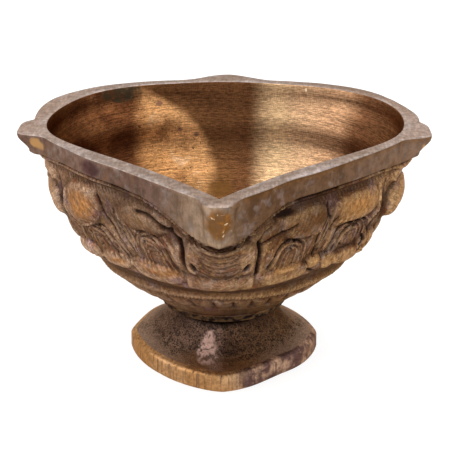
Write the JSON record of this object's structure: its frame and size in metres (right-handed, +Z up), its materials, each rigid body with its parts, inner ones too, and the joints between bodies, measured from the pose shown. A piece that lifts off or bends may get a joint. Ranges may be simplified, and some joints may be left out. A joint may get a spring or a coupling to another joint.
{
  "type": "diya oil lamp",
  "caption": "Footed brass diya with a pointed-spout oil bowl, corner lugs, a flat ground rim and cast leaf relief, brazed onto a spreading four-cornered foot.",
  "frame": {"origin": "centre of the foot's resting face, on the lamp's axis", "axes": "+Z up along the lamp's axis; -Y towards the pointed spout; side lugs on +X and -X"},
  "size_m": [0.076, 0.076, 0.0449],
  "materials": {
    "bowl_brass": "cast outside, turned inside, ground rim, aged",
    "foot_brass": "rough cast with filed edge, aged dark",
    "braze_alloy": "as brazed"
  },
  "bodies": {
    "root": {"bowl": "bowl_brass", "foot": "foot_brass", "braze_ring": "braze_alloy"}
  },
  "joints": []
}
